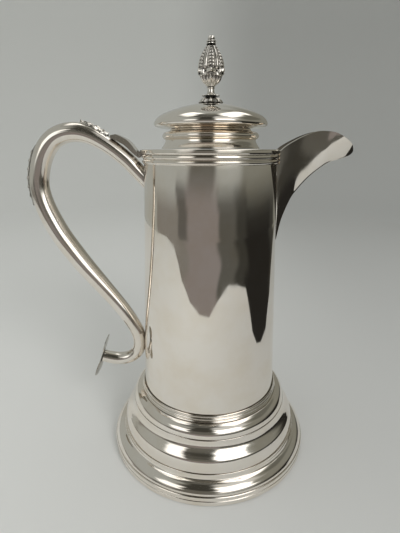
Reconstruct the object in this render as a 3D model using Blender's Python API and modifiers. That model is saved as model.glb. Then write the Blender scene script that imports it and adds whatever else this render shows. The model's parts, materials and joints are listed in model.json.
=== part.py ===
"""Silver coffee pot: tapered body on a stepped base, helmet-mouth spout, hollow scroll handle,
hinged domed lid and a bud finial. Metres, +Z up. The spout points to +X and the handle to -X.
The origin is the centre of the footprint box, on the table."""
import math

import bmesh
import bpy
from mathutils import Matrix, Vector

MM = 0.001

# Placement: distance from the origin to the axis of the pot, along X.
AXIS_X = 15.5

# Clearance between touching pieces.
GAP = 0.3

# Roundness.
RING_STEPS = 40
SMALL_STEPS = 24

# Body.
WALL = 1.0
BODY_BOTTOM_Z = 43.1
BODY_TOP_Z = 204.9
BODY_BOTTOM_R = 47.58
BODY_TOP_R = 41.1
FLOOR_Z = 45.0
FLOOR_THICK = 1.2
RIM_LOW_Z = 199.9
RIM_HIGH_Z = 205.2
STRAINER_HOLE_R = 1.5
STRAINER_TOP_Z = 194.0
STRAINER_PITCH = 6.0

# Base.
FOOT_R = 71.1
FOOT_BAND_INNER_R = 69.0
FOOT_BAND_H = 6.3
SHEET = 1.0

# Spout.
SPOUT_BULGE = 0.2
SPOUT_SHEET = 1.1
SPOUT_STATIONS = 14
SPOUT_ROWS = 12

# Handle.
HANDLE_WALL = 1.1
HANDLE_STEPS = 40

# Hinge.
HINGE_X = -43.6
HINGE_Z = 205.2
KNUCKLE_R = 1.9
KNUCKLE_BORE_R = 1.0
PIN_R = 0.7
SLOT_R = 3.2
HINGE_HALF = 7.5
LID_KNUCKLE_HALF = 2.85
NOTCH_HALF = 8.0
NOTCH_X = -40.9

# Lid.
FLANGE_R = 42.8
FLANGE_TOP_Z = 208.2
FLANGE_LOW_Z = 205.5
BEZEL_R = 39.2
BEZEL_LOW_Z = 200.5
STUD_R = 1.2
STUD_HOLE_R = 1.55
FINIAL_TOP_Z = 270.4


def collection(name, hidden=False):
    found = bpy.data.collections.new(name)
    bpy.context.scene.collection.children.link(found)
    found.hide_render = hidden
    return found


def silver(name, base, roughness):
    material = bpy.data.materials.new(name)
    material.use_nodes = True
    shader = material.node_tree.nodes["Principled BSDF"]
    shader.inputs["Base Color"].default_value = (*base, 1.0)
    shader.inputs["Metallic"].default_value = 1.0
    shader.inputs["Roughness"].default_value = roughness
    return material


def finish(obj, tone=0.9, roughness=0.12, sharp_degrees=35.0):
    """Give the piece its own metal and its shading."""
    obj.data.materials.clear()
    obj.data.materials.append(silver(obj.name, (tone, tone * 0.975, tone * 0.93), roughness))
    if obj.type == "MESH":
        obj.data.shade_smooth()
        obj.data.set_sharp_from_angle(angle=math.radians(sharp_degrees))
    return obj


def baked(obj, name):
    """A plain mesh object from the evaluated object, in the place of the original."""
    bpy.context.view_layer.update()
    graph = bpy.context.evaluated_depsgraph_get()
    mesh = bpy.data.meshes.new_from_object(obj.evaluated_get(graph))
    made = bpy.data.objects.new(name, mesh)
    made.matrix_world = obj.matrix_world.copy()
    for holder in obj.users_collection:
        holder.objects.link(made)
    bpy.data.objects.remove(obj)
    made.name = name
    shape = bmesh.new()
    shape.from_mesh(mesh)
    bmesh.ops.remove_doubles(shape, verts=shape.verts, dist=0.002 * MM)
    shape.to_mesh(mesh)
    shape.free()
    return made


def turned(name, profile, holder, closed=True, steps=RING_STEPS):
    """A piece turned about the pot's axis. The profile runs down its outer side first."""
    points = [Vector((r * MM, 0.0, z * MM)) for r, z in profile]
    edges = [(i, i + 1) for i in range(len(points) - 1)]
    if closed:
        edges.append((len(points) - 1, 0))
    mesh = bpy.data.meshes.new(name)
    mesh.from_pydata(points, edges, [])
    obj = bpy.data.objects.new(name, mesh)
    obj.location = (AXIS_X * MM, 0.0, 0.0)
    holder.objects.link(obj)
    screw = obj.modifiers.new("Turn", "SCREW")
    screw.axis = "Z"
    screw.angle = 2.0 * math.pi
    screw.steps = steps
    screw.render_steps = steps
    screw.use_merge_vertices = True
    screw.merge_threshold = 0.01 * MM
    return baked(obj, name)


def box(name, low, high, holder):
    """A block between two corners measured from the pot's axis."""
    bpy.ops.mesh.primitive_cube_add(size=1.0)
    obj = bpy.context.object
    obj.name = name
    size = [(b - a) * MM for a, b in zip(low, high)]
    middle = [(a + b) / 2 * MM for a, b in zip(low, high)]
    obj.data.transform(Matrix.Diagonal((*size, 1.0)))
    obj.location = (middle[0] + AXIS_X * MM, middle[1], middle[2])
    move_to(obj, holder)
    return obj


def rod(name, radius, half, centre, direction, holder, sides=20):
    """A cylinder about a centre measured from the pot's axis."""
    bpy.ops.mesh.primitive_cylinder_add(vertices=sides, radius=radius * MM, depth=2 * half * MM)
    obj = bpy.context.object
    obj.name = name
    turn = Vector((0, 0, 1)).rotation_difference(Vector(direction)).to_matrix().to_4x4()
    obj.data.transform(turn)
    obj.location = ((centre[0] + AXIS_X) * MM, centre[1] * MM, centre[2] * MM)
    move_to(obj, holder)
    return obj


def move_to(obj, holder):
    for old in obj.users_collection:
        old.objects.unlink(obj)
    holder.objects.link(obj)


def combine(obj, other, operation):
    """Boolean of two meshes. The other one is used up."""
    name = obj.name
    step = obj.modifiers.new("Cut", "BOOLEAN")
    step.operation = operation
    step.solver = "EXACT"
    step.object = other
    result = baked(obj, name + "_made")
    bpy.data.objects.remove(other)
    result.name = name
    return result


def smooth_line(points, count):
    """Evenly spaced points along a Catmull-Rom line through tuples of any length."""
    ends = [points[0]] + list(points) + [points[-1]]
    dense = []
    for i in range(1, len(ends) - 2):
        a, b, c, d = ends[i - 1], ends[i], ends[i + 1], ends[i + 2]
        for k in range(20):
            t = k / 20
            dense.append([
                0.5 * (2 * q + (r - p) * t + (2 * p - 5 * q + 4 * r - s) * t * t
                       + (3 * q - p - 3 * r + s) * t ** 3)
                for p, q, r, s in zip(a, b, c, d)
            ])
    dense.append(list(points[-1]))
    lengths = [0.0]
    for a, b in zip(dense, dense[1:]):
        lengths.append(lengths[-1] + math.dist(a[:2], b[:2]))
    result = []
    at = 0
    for i in range(count):
        goal = lengths[-1] * i / (count - 1)
        while at < len(dense) - 2 and lengths[at + 1] < goal:
            at += 1
        span = lengths[at + 1] - lengths[at]
        share = (goal - lengths[at]) / span if span else 0.0
        result.append([a + (b - a) * share for a, b in zip(dense[at], dense[at + 1])])
    return result


def body_radius(z):
    share = (z - BODY_BOTTOM_Z) / (BODY_TOP_Z - BODY_BOTTOM_Z)
    return BODY_BOTTOM_R + (BODY_TOP_R - BODY_BOTTOM_R) * share


def body_cutter(name, holder, extra):
    """The filled body, larger by the given gap, for fitting other pieces to its surface."""
    low, high = 20.0, 207.0
    return turned(name, [
        (0.0, high),
        (body_radius(high) + extra, high),
        (body_radius(low) + extra, low),
        (0.0, low),
    ], holder, closed=False, steps=2 * RING_STEPS)


# ---- body ----

def make_body(parts, cutters):
    wall = turned("body_wall", [
        (BODY_TOP_R, BODY_TOP_Z),
        (BODY_BOTTOM_R, BODY_BOTTOM_Z),
        (BODY_BOTTOM_R - WALL, BODY_BOTTOM_Z),
        (BODY_TOP_R - WALL, BODY_TOP_Z),
    ], parts)
    for row in range(4):
        for column in range(4 - row):
            y = (column - (3 - row) / 2) * STRAINER_PITCH
            z = STRAINER_TOP_Z - row * STRAINER_PITCH
            hole = rod("hole", STRAINER_HOLE_R, 6.0, (42.0, y, z), (1, 0, 0), cutters, sides=10)
            wall = combine(wall, hole, "DIFFERENCE")
    finish(wall)

    r = body_radius(FLOOR_Z) - WALL - GAP
    finish(turned("body_floor", [
        (0.0, FLOOR_Z + FLOOR_THICK + 1.5),
        (r * 0.6, FLOOR_Z + FLOOR_THICK + 1.0),
        (r - 0.05, FLOOR_Z + FLOOR_THICK),
        (r, FLOOR_Z),
        (r * 0.6, FLOOR_Z + 1.0),
        (0.0, FLOOR_Z + 1.5),
    ], parts, closed=False), roughness=0.3)

    r = body_radius(RIM_LOW_Z) + GAP
    rim = turned("rim_moulding", [
        (42.0, RIM_HIGH_Z),
        (42.5, 204.6),
        (42.5, 203.4),
        (41.9, 202.7),
        (41.9, 202.3),
        (42.3, 201.8),
        (42.3, 200.7),
        (41.9, RIM_LOW_Z),
        (r, RIM_LOW_Z),
        (r - 0.2, RIM_HIGH_Z),
    ], parts)
    notch = box("notch", (-50, -NOTCH_HALF, 190), (-30, NOTCH_HALF, 215), cutters)
    finish(combine(rim, notch, "DIFFERENCE"))


def make_base(parts):
    inner = BODY_BOTTOM_R + GAP + 0.05
    finish(turned("junction_moulding", [
        (inner + 0.2, 47.6),
        (48.6, 47.0),
        (48.6, 46.2),
        (48.2, 45.7),
        (48.9, 45.2),
        (48.9, 44.4),
        (48.5, 43.9),
        (49.3, 43.4),
        (49.3, 43.0),
        (inner, 43.0),
    ], parts))
    finish(turned("base_upper_tier", [
        (44.5, 42.7),
        (49.9, 42.7),
        (51.7, 41.9),
        (53.5, 40.5),
        (54.7, 38.5),
        (55.3, 36.7),
        (55.5, 35.4),
        (54.4, 35.4),
        (53.5, 38.0),
        (52.4, 39.8),
        (50.6, 41.2),
        (49.6, 41.7),
        (44.5, 41.7),
    ], parts))
    finish(turned("base_middle_tier", [
        (53.0, 35.1),
        (55.9, 35.1),
        (56.2, 32.4),
        (57.0, 30.2),
        (58.2, 28.3),
        (60.0, 26.1),
        (61.2, 24.2),
        (62.2, 21.4),
        (62.6, 18.5),
        (62.7, 16.2),
        (61.7, 16.2),
        (61.4, 20.0),
        (60.2, 23.8),
        (57.2, 27.7),
        (55.4, 31.4),
        (54.9, 34.1),
        (53.0, 34.1),
    ], parts))
    finish(turned("base_lower_tier", [
        (60.5, 15.9),
        (63.2, 15.9),
        (63.4, 14.2),
        (63.9, 12.6),
        (65.6, 12.1),
        (67.3, 11.1),
        (69.0, 9.6),
        (70.1, 7.9),
        (70.4, 6.6),
        (69.3, 6.6),
        (68.2, 8.9),
        (66.6, 10.3),
        (63.0, 11.6),
        (62.3, 14.9),
        (60.5, 14.9),
    ], parts))
    finish(turned("foot_band", [
        (70.6, FOOT_BAND_H),
        (FOOT_R, 5.7),
        (FOOT_R, 3.6),
        (70.75, 3.3),
        (FOOT_R, 3.0),
        (FOOT_R, 0.0),
        (FOOT_BAND_INNER_R, 0.0),
        (FOOT_BAND_INNER_R, FOOT_BAND_H),
    ], parts))


# ---- spout ----

# Side view of the keel, and of the top edge with the half width there: x, z, half width.
KEEL_LINE = (
    (42.6, 148.5), (43.9, 152.0), (46.4, 164.8), (51.4, 178.3), (55.9, 185.0), (62.7, 192.7),
    (72.4, 200.2), (79.5, 202.7), (85.2, 204.7), (87.4, 206.6),
)
EDGE_LINE = (
    (38.0, 203.6, 9.0), (41.7, 207.2, 9.0), (46.3, 210.9, 8.6), (55.5, 215.7, 7.1),
    (63.8, 218.4, 6.2), (70.5, 218.6, 5.9), (75.7, 217.6, 5.9), (81.2, 214.8, 5.4),
    (85.4, 211.6, 4.0), (87.6, 207.7, 0.9),
)


def make_spout(parts, cutters):
    """An open trough: at each station the sides rise from a narrow keel and bulge slightly."""
    keel = smooth_line(KEEL_LINE, SPOUT_STATIONS)
    edge = smooth_line(EDGE_LINE, SPOUT_STATIONS)
    points = []
    faces = []
    for (keel_x, keel_z), (edge_x, edge_z, half) in zip(keel, edge):
        for j in range(SPOUT_ROWS + 1):
            side = 2 * j / SPOUT_ROWS - 1
            rise = abs(side)
            bulge = SPOUT_BULGE * (math.sin(rise * math.pi / 2) - rise)
            y = math.copysign(half * (rise + bulge), side)
            x = keel_x + (edge_x - keel_x) * rise
            z = keel_z + (edge_z - keel_z) * rise
            points.append(((x + AXIS_X) * MM, y * MM, z * MM))
    row = SPOUT_ROWS + 1
    for i in range(SPOUT_STATIONS - 1):
        for j in range(SPOUT_ROWS):
            a = i * row + j
            faces.append((a, a + 1, a + row + 1, a + row))
    mesh = bpy.data.meshes.new("spout")
    mesh.from_pydata(points, [], faces)
    obj = bpy.data.objects.new("spout", mesh)
    parts.objects.link(obj)
    sheet = obj.modifiers.new("Sheet", "SOLIDIFY")
    sheet.thickness = SPOUT_SHEET * MM
    sheet.offset = -1.0
    sheet.use_even_offset = True
    obj = baked(obj, "spout")
    obj = combine(obj, body_cutter("inside", cutters, GAP), "DIFFERENCE")
    collar = turned("collar", [
        (0.0, 230.0),
        (FLANGE_R + 0.4, 230.0),
        (FLANGE_R + 0.4, RIM_LOW_Z - GAP),
        (0.0, RIM_LOW_Z - GAP),
    ], cutters, closed=False, steps=2 * RING_STEPS)
    finish(combine(obj, collar, "DIFFERENCE"))


# ---- handle ----

# Side view of the handle's centre line with the tube's radius: x, z, radius.
HANDLE_LINE = (
    (-36.0, 184.2, 5.0), (-44.4, 193.2, 5.0), (-51.3, 200.5, 5.0), (-57.2, 205.6, 5.0),
    (-62.9, 209.8, 5.05), (-68.3, 213.2, 5.2), (-73.9, 216.1, 5.45), (-80.1, 218.0, 5.7),
    (-86.3, 218.4, 5.9), (-92.7, 217.1, 6.0), (-98.8, 213.8, 6.1), (-103.7, 208.4, 6.2),
    (-107.6, 200.9, 6.2), (-110.1, 192.1, 6.15), (-110.7, 185.0, 6.15), (-109.9, 178.2, 6.25),
    (-108.0, 170.8, 6.45), (-104.8, 162.5, 6.65), (-100.0, 152.6, 6.7), (-93.7, 142.5, 6.65),
    (-85.5, 130.6, 6.4), (-76.6, 119.0, 5.9), (-67.9, 107.6, 5.4), (-61.2, 98.2, 5.15),
    (-55.6, 88.9, 5.0), (-51.7, 80.2, 4.9), (-50.9, 72.3, 4.7), (-53.0, 65.3, 4.6),
    (-58.6, 60.4, 4.55), (-66.2, 58.6, 4.6), (-73.3, 59.4, 4.5), (-78.5, 60.7, 4.4),
)
TERMINAL_HALF = 17.2
TERMINAL_HALF_WIDTH = 6.3
TERMINAL_WAIST = 4.6
TERMINAL_THICK = 1.2
TERMINAL_TILT = 18.1
TOP_LEAF_THICK = 2.2
BACK_LEAF_THICK = 1.45


def make_handle(parts, cutters):
    line = smooth_line(HANDLE_LINE, HANDLE_STEPS)
    data = bpy.data.curves.new("handle_tube", "CURVE")
    data.dimensions = "3D"
    data.twist_mode = "MINIMUM"
    data.bevel_depth = MM
    data.bevel_resolution = 3
    data.use_fill_caps = False
    spline = data.splines.new("POLY")
    spline.points.add(len(line) - 1)
    for point, (x, z, radius) in zip(spline.points, line):
        point.co = ((x + AXIS_X) * MM, 0.0, z * MM, 1.0)
        point.radius = radius
    tube = bpy.data.objects.new("handle_tube", data)
    parts.objects.link(tube)
    tube = baked(tube, "handle_tube")
    wall = tube.modifiers.new("Wall", "SOLIDIFY")
    wall.thickness = HANDLE_WALL * MM
    wall.offset = -1.0
    tube = baked(tube, "handle_tube")
    finish(combine(tube, body_cutter("inside", cutters, GAP), "DIFFERENCE"))

    plate = bpy.data.curves.new("handle_terminal", "CURVE")
    plate.dimensions = "2D"
    plate.fill_mode = "BOTH"
    plate.extrude = TERMINAL_THICK / 2 * MM
    outline = plate.splines.new("POLY")
    count = 36
    outline.points.add(count - 1)
    outline.use_cyclic_u = True
    for i, point in enumerate(outline.points):
        turn = 2 * math.pi * i / count
        along = TERMINAL_HALF * math.cos(turn)
        petal = TERMINAL_HALF_WIDTH * abs(math.sin(2 * turn))
        waist = TERMINAL_WAIST * abs(math.sin(turn)) ** 2
        across = math.copysign(max(petal, waist), math.sin(turn))
        point.co = (along * MM, across * MM, 0.0, 1.0)
    obj = bpy.data.objects.new("handle_terminal", plate)
    parts.objects.link(obj)
    tilt = math.radians(TERMINAL_TILT)
    end_x, end_z, _ = HANDLE_LINE[-1]
    reach = TERMINAL_THICK / 2 + 1.6 * GAP
    long_axis = Vector((math.sin(tilt), 0, math.cos(tilt)))
    normal = Vector((-math.cos(tilt), 0, math.sin(tilt)))
    width_axis = normal.cross(long_axis)
    place = Matrix((long_axis, width_axis, normal)).transposed().to_4x4()
    place.translation = (
        (end_x + AXIS_X + normal.x * reach) * MM, 0.0, (end_z + normal.z * reach) * MM)
    obj.matrix_world = place
    finish(baked(obj, "handle_terminal"))
    make_leaf("handle_leaf", parts, HANDLE_LINE[3:9], lambda x, z: -81.2 <= x <= -66.6,
              TOP_LEAF_THICK, lambda share: 6 + 28 * (1 - share ** 2.2) ** 0.5, curl=0.6)
    make_leaf("handle_back_leaf", parts, HANDLE_LINE[10:18], lambda x, z: 174.5 <= z <= 207.5,
              BACK_LEAF_THICK, lambda share: 6 + 28 * math.sin(math.pi * share) ** 0.5)


def make_leaf(name, parts, stretch, within, thickness, spread_at, curl=0.0):
    """A cast leaf along the outside of the tube. Its half width at each station is an angle."""
    line = smooth_line(stretch, 48)
    inside = [i for i in range(1, len(line)) if within(line[i][0], line[i][1])]
    columns = 5
    rows = len(inside)
    points = []
    faces = []
    for i, station in enumerate(inside):
        x, z, radius = line[station]
        before = line[station - 1]
        along = Vector((x - before[0], 0, z - before[1])).normalized()
        outward = Vector((along.z, 0, -along.x))
        share = i / (rows - 1)
        spread = math.radians(spread_at(share))
        lift = radius + GAP + curl * max(0.0, share - 0.8) / 0.2
        for j in range(columns):
            angle = spread * (2 * j / (columns - 1) - 1)
            offset = outward * (lift * math.cos(angle)) + Vector((0, lift * math.sin(angle), 0))
            points.append(((x + offset.x + AXIS_X) * MM, offset.y * MM, (z + offset.z) * MM))
    for i in range(rows - 1):
        for j in range(columns - 1):
            a = i * columns + j
            faces.append((a, a + 1, a + columns + 1, a + columns))
    mesh = bpy.data.meshes.new(name)
    mesh.from_pydata(points, [], faces)
    leaf = bpy.data.objects.new(name, mesh)
    parts.objects.link(leaf)
    body = leaf.modifiers.new("Body", "SOLIDIFY")
    body.thickness = thickness * MM
    body.offset = 1.0
    finish(baked(leaf, name))


# ---- hinge ----

# Side view of the raised arm between the handle leaf and the fixed knuckles.
ARM_OUTLINE = (
    (-61.2, 216.4), (-57.8, 217.0), (-54.5, 215.6), (-51.6, 214.1), (-49.6, 212.3), (-48.0, 210.3),
    (-45.0, 206.3), (-43.6, 205.6), (-43.6, 204.8), (-45.4, 203.9), (-48.0, 205.9),
    (-51.0, 209.0), (-53.4, 211.0), (-57.6, 213.2), (-61.2, 215.1),
)
ARM_HALF_WIDTH = 5.2


def make_hinge(parts, cutters):
    data = bpy.data.curves.new("hinge_arm", "CURVE")
    data.dimensions = "2D"
    data.fill_mode = "BOTH"
    data.extrude = ARM_HALF_WIDTH * MM
    outline = data.splines.new("POLY")
    outline.points.add(len(ARM_OUTLINE) - 1)
    outline.use_cyclic_u = True
    for point, (x, z) in zip(outline.points, ARM_OUTLINE):
        point.co = (x * MM, z * MM, 0.0, 1.0)
    arm = bpy.data.objects.new("hinge_arm", data)
    parts.objects.link(arm)
    arm.matrix_world = Matrix.Translation((AXIS_X * MM, 0, 0)) @ Matrix.Rotation(math.pi / 2, 4, "X")
    arm = baked(arm, "hinge_arm")
    centre = (HINGE_X, 0.0, HINGE_Z)
    across = (0, 1, 0)
    barrel = rod("barrel", KNUCKLE_R, HINGE_HALF, centre, across, cutters)
    arm = combine(arm, barrel, "UNION")
    slot = rod("slot", SLOT_R, LID_KNUCKLE_HALF + GAP, centre, across, cutters, sides=32)
    arm = combine(arm, slot, "DIFFERENCE")
    bore = rod("bore", KNUCKLE_BORE_R, HINGE_HALF + 1, centre, across, cutters)
    finish(combine(arm, bore, "DIFFERENCE"))

    finish(rod("hinge_pin", PIN_R, HINGE_HALF - 0.2, centre, across, parts), roughness=0.25)

    leaf = rod("lid_hinge_leaf", KNUCKLE_R, LID_KNUCKLE_HALF, centre, across, parts)
    tab = box("tab", (HINGE_X, -LID_KNUCKLE_HALF + 0.05, 205.75),
              (NOTCH_X - GAP, LID_KNUCKLE_HALF - 0.05, 207.8), cutters)
    leaf = combine(leaf, tab, "UNION")
    bore = rod("bore", KNUCKLE_BORE_R, HINGE_HALF, centre, across, cutters)
    finish(combine(leaf, bore, "DIFFERENCE"))


# ---- lid ----

def make_lid(parts, cutters):
    flange = turned("lid_flange", [
        (28.6, FLANGE_TOP_Z),
        (42.2, FLANGE_TOP_Z),
        (FLANGE_R, 207.7),
        (FLANGE_R, 206.1),
        (42.4, FLANGE_LOW_Z),
        (40.0, FLANGE_LOW_Z),
        (40.0, 206.9),
        (28.6, 206.9),
    ], parts)
    notch = box("notch", (-60, -NOTCH_HALF, 200), (NOTCH_X, NOTCH_HALF, 215), cutters)
    finish(combine(flange, notch, "DIFFERENCE"))
    finish(turned("lid_bezel", [
        (BEZEL_R, 206.6),
        (BEZEL_R, 201.0),
        (BEZEL_R - 0.3, BEZEL_LOW_Z),
        (BEZEL_R - 0.9, BEZEL_LOW_Z),
        (BEZEL_R - 0.9, 206.6),
    ], parts))
    finish(turned("lid_neck", [
        (24.9, 219.6),
        (25.1, 218.8),
        (26.2, 218.4),
        (27.6, 218.1),
        (28.8, 217.5),
        (29.5, 216.5),
        (29.6, 215.5),
        (29.1, 214.5),
        (28.2, 213.8),
        (27.8, 213.3),
        (28.2, 212.1),
        (29.2, 210.4),
        (30.2, 209.2),
        (30.5, 208.5),
        (29.4, 208.5),
        (28.2, 210.0),
        (27.1, 211.8),
        (26.9, 213.5),
        (28.0, 214.6),
        (28.5, 215.7),
        (28.2, 216.7),
        (27.0, 217.3),
        (24.3, 217.7),
        (23.9, 219.6),
    ], parts))
    finish(turned("lid_dome", [
        (STUD_HOLE_R, 234.6),
        (8.0, 234.1),
        (12.2, 233.4),
        (17.0, 232.2),
        (21.3, 231.0),
        (25.0, 229.8),
        (28.4, 228.5),
        (31.2, 227.0),
        (33.1, 225.4),
        (34.2, 223.8),
        (34.4, 222.5),
        (33.8, 221.4),
        (32.2, 220.8),
        (28.0, 220.3),
        (25.2, 219.9),
        (24.0, 219.9),
        (24.0, 220.8),
        (31.6, 221.8),
        (33.1, 222.6),
        (33.0, 223.7),
        (30.3, 226.4),
        (21.0, 230.0),
        (8.0, 233.0),
        (STUD_HOLE_R, 233.5),
    ], parts))


def lobed(obj, lobes, depth, from_radius):
    """Draw the surface in between the lobes, outside the given radius."""
    for vertex in obj.data.vertices:
        x, y = vertex.co.x, vertex.co.y
        radius = math.hypot(x, y)
        if radius > from_radius * MM:
            swing = (1 - math.cos(lobes * math.atan2(y, x))) / 2
            factor = 1 - depth * swing
            vertex.co.x *= factor
            vertex.co.y *= factor
    return obj


def make_finial(parts, cutters):
    finish(lobed(turned("finial_base", [
        (3.2, 237.9),
        (5.0, 237.2),
        (6.4, 236.1),
        (7.4, 235.0),
        (7.2, 234.6),
        (STUD_HOLE_R, 235.0),
        (STUD_HOLE_R, 237.9),
    ], parts, steps=32), 8, 0.16, 4.0))
    finish(turned("finial_stem", [
        (0.0, 243.2),
        (2.0, 243.2),
        (2.15, 241.6),
        (2.1, 240.2),
        (2.7, 239.3),
        (5.6, 238.9),
        (5.6, 238.5),
        (3.0, 238.2),
        (STUD_HOLE_R, 238.2),
        (STUD_HOLE_R, 241.6),
        (0.0, 241.6),
    ], parts, closed=False, steps=SMALL_STEPS))
    finish(lobed(turned("finial_calyx", [
        (0.0, 248.5),
        (4.0, 248.7),
        (6.0, 250.0),
        (7.4, 251.8),
        (8.5, 252.4),
        (8.0, 251.0),
        (7.1, 249.4),
        (6.1, 247.6),
        (4.9, 246.0),
        (3.2, 244.6),
        (2.2, 243.5),
        (0.0, 243.5),
    ], parts, closed=False, steps=32), 8, 0.1, 5.5))
    finish(lobed(turned("finial_bud", [
        (0.0, 265.4),
        (2.7, 265.4),
        (3.4, 264.5),
        (4.7, 262.4),
        (6.1, 260.0),
        (7.1, 257.6),
        (7.6, 255.2),
        (7.8, 253.8),
        (7.3, 252.9),
        (5.2, 250.6),
        (0.0, 249.2),
    ], parts, closed=False, steps=32), 8, 0.08, 4.0))
    finish(turned("finial_tip", [
        (0.0, FINIAL_TOP_Z),
        (1.2, 270.1),
        (1.8, 269.2),
        (1.6, 268.4),
        (2.6, 267.9),
        (2.8, 266.8),
        (2.4, 265.7),
        (0.0, 265.7),
    ], parts, closed=False, steps=SMALL_STEPS))
    finish(turned("finial_stud", [
        (0.0, 241.3),
        (STUD_R, 241.0),
        (STUD_R, 228.4),
        (0.0, 228.1),
    ], parts, closed=False, steps=12), roughness=0.35)
    finish(turned("finial_washer", [
        (4.5, 232.9),
        (4.5, 232.0),
        (STUD_HOLE_R, 232.0),
        (STUD_HOLE_R, 232.9),
    ], parts, steps=SMALL_STEPS), roughness=0.35)
    nut = rod("finial_nut", 3.4, 1.2, (0, 0, 230.5), (0, 0, 1), parts, sides=6)
    thread = rod("thread", STUD_HOLE_R, 3.0, (0, 0, 230.5), (0, 0, 1), cutters, sides=16)
    finish(combine(nut, thread, "DIFFERENCE"), roughness=0.35)


def main():
    for old in list(bpy.data.objects):
        bpy.data.objects.remove(old)
    parts = collection("silver_coffee_pot")
    cutters = collection("cutters", hidden=True)
    make_body(parts, cutters)
    make_base(parts)
    make_spout(parts, cutters)
    make_handle(parts, cutters)
    make_hinge(parts, cutters)
    make_lid(parts, cutters)
    make_finial(parts, cutters)


main()
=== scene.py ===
"""Looks of a silver coffee pot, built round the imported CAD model.

Shapes are given in millimetres from the pot's own axis and turned into metres in the row frame.
"""
import json
import math

import bmesh
import bpy
import numpy as np
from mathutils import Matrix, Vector

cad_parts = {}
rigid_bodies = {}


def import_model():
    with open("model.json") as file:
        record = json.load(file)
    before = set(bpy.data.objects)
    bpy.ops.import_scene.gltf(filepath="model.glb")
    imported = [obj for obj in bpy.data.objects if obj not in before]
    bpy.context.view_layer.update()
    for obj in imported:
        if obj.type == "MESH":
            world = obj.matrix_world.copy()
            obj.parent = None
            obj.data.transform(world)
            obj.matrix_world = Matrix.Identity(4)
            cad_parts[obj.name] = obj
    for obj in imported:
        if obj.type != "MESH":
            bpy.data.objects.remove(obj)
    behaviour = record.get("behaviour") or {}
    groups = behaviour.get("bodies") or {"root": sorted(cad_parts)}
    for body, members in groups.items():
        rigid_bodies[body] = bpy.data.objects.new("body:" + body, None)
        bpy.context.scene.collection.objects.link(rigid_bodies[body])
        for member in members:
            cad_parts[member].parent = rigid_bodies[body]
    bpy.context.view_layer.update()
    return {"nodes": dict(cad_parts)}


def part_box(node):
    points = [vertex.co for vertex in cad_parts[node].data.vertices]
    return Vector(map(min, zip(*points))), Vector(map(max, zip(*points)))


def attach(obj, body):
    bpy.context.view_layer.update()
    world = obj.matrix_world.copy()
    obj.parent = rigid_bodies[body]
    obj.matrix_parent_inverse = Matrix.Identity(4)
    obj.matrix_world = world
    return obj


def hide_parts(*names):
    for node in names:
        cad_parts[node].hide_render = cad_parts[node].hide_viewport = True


MM = 0.001
SEGMENTS = 192
SHARP_ANGLE = 38.0
LEAF_SHARP_ANGLE = 50.0
GAP = 0.3
HUG = 0.12

for old in list(bpy.data.objects):
    bpy.data.objects.remove(old)
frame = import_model()
foot_low, foot_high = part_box("foot_band")
AXIS = Vector(((foot_low.x + foot_high.x) / 2, (foot_low.y + foot_high.y) / 2, 0.0))


# ---- small helpers ----

def catmull(points, steps=6):
    """A smooth line through the points, as tuples of the same length."""
    ends = [points[0], *points, points[-1]]
    line = []
    for a, b, c, d in zip(ends, ends[1:], ends[2:], ends[3:]):
        for k in range(steps):
            t = k / steps
            line.append(tuple(
                0.5 * (2 * q + (r - p) * t + (2 * p - 5 * q + 4 * r - s) * t * t
                       + (3 * q - p - 3 * r + s) * t ** 3)
                for p, q, r, s in zip(a, b, c, d)))
    line.append(tuple(points[-1]))
    return line


def even(line, count):
    """The same line with evenly spaced points."""
    line = np.array(line, float)
    step = np.linalg.norm(np.diff(line[:, :2], axis=0), axis=1)
    at = np.concatenate([[0.0], np.cumsum(step)])
    goal = np.linspace(0, at[-1], count)
    return np.stack([np.interp(goal, at, line[:, k]) for k in range(line.shape[1])], axis=1)


def filleted(outline, closed=True, steps=5):
    """Rounds the corners of an outline: a point with a third number is rounded by that radius."""
    made = []
    count = len(outline)
    for i, point in enumerate(outline):
        here = Vector(point[:2])
        radius = point[2] if len(point) > 2 else 0.0
        if not radius or (not closed and i in (0, count - 1)):
            made.append(tuple(here))
            continue
        to_last = Vector(outline[i - 1][:2]) - here
        to_next = Vector(outline[(i + 1) % count][:2]) - here
        half = to_last.angle(to_next) / 2
        reach = min(radius / math.tan(half), 0.48 * to_last.length, 0.48 * to_next.length)
        start = here + to_last.normalized() * reach
        end = here + to_next.normalized() * reach
        for k in range(steps + 1):
            t = k / steps
            made.append(tuple(start * (1 - t) ** 2 + here * 2 * t * (1 - t) + end * t * t))
    return made


def linked(name, data):
    obj = bpy.data.objects.new(name, data)
    bpy.context.scene.collection.objects.link(obj)
    return obj


def shape_object(name, points, faces):
    """An object from points in millimetres round the axis."""
    mesh = bpy.data.meshes.new(name)
    mesh.from_pydata([(Vector(p) * MM + AXIS) for p in points], [], faces)
    return linked(name, mesh)


def mesh_piece(name, points, faces, body, material, nodes=(), sharp=SHARP_ANGLE):
    """A piece from points in millimetres, riding on a body and standing for CAD nodes."""
    return dressed(shape_object(name, points, faces), body, material, nodes, sharp)


def facing_out(obj):
    """Merges doubled points and turns every face outward."""
    shape = bmesh.new()
    shape.from_mesh(obj.data)
    bmesh.ops.remove_doubles(shape, verts=shape.verts, dist=1e-7)
    bmesh.ops.recalc_face_normals(shape, faces=shape.faces)
    shape.to_mesh(obj.data)
    shape.free()


def dressed(obj, body, material, nodes=(), sharp=SHARP_ANGLE):
    facing_out(obj)
    obj.data.materials.clear()
    obj.data.materials.append(material)
    obj.data.shade_smooth()
    obj.data.set_sharp_from_angle(angle=math.radians(sharp))
    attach(obj, body)
    if nodes:
        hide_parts(*nodes)
    return obj


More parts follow.
